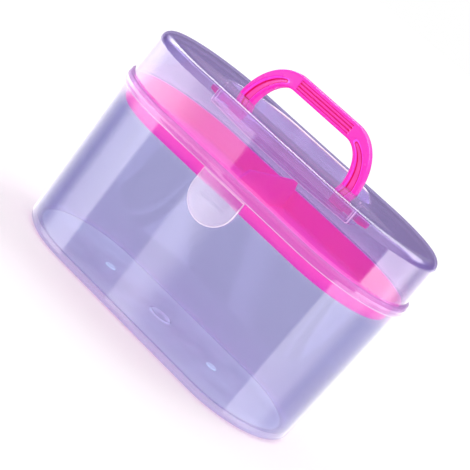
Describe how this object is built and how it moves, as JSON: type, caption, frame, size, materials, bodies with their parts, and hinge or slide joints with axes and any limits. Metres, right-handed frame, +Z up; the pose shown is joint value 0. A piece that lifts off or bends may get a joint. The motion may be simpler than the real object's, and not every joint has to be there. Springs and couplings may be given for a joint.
{
  "type": "sewing box",
  "caption": "Clear oval sewing box with a hinged lid, a front latch tab, a pink lift-out tray with a raised divider, and a pink carrying handle that folds into a well in the lid.",
  "frame": {"origin": "centre of the box's plan, on the surface that it stands on", "axes": "+X along the box, -Y out of its front where the latch is, +Z up"},
  "size_m": [0.215, 0.1123, 0.1658],
  "materials": {
    "clear_plastic": "frosted clear polypropylene",
    "pink_plastic": "glossy moulded plastic"
  },
  "bodies": {
    "tub": {"tub": "clear_plastic"},
    "lid": {"lid": "clear_plastic"},
    "latch_tab": {"latch_tab": "clear_plastic"},
    "tray": {"tray": "pink_plastic"},
    "handle": {"handle": "pink_plastic"}
  },
  "joints": [
    {"name": "lid_hinge", "type": "hinge", "parent": "tub", "child": "lid", "pos_m": [0, 0.05475, 0.0957], "axis": [-1, 0, 0], "range_deg": [0, 110]},
    {"name": "handle_fold", "type": "hinge", "parent": "lid", "child": "handle", "pos_m": [0, -0.005, 0.1267], "axis": [-1, 0, 0], "range_deg": [-24, 90]},
    {"name": "latch_flex", "type": "hinge", "parent": "lid", "child": "latch_tab", "pos_m": [0, -0.0544, 0.09825], "axis": [-1, 0, 0], "range_deg": [0, 30], "stiffness_Nm_per_rad": 0.02},
    {"name": "tray_lift", "type": "slide", "parent": "tub", "child": "tray", "axis": [0, 0, 1], "range_m": [0, 0.005]}
  ]
}
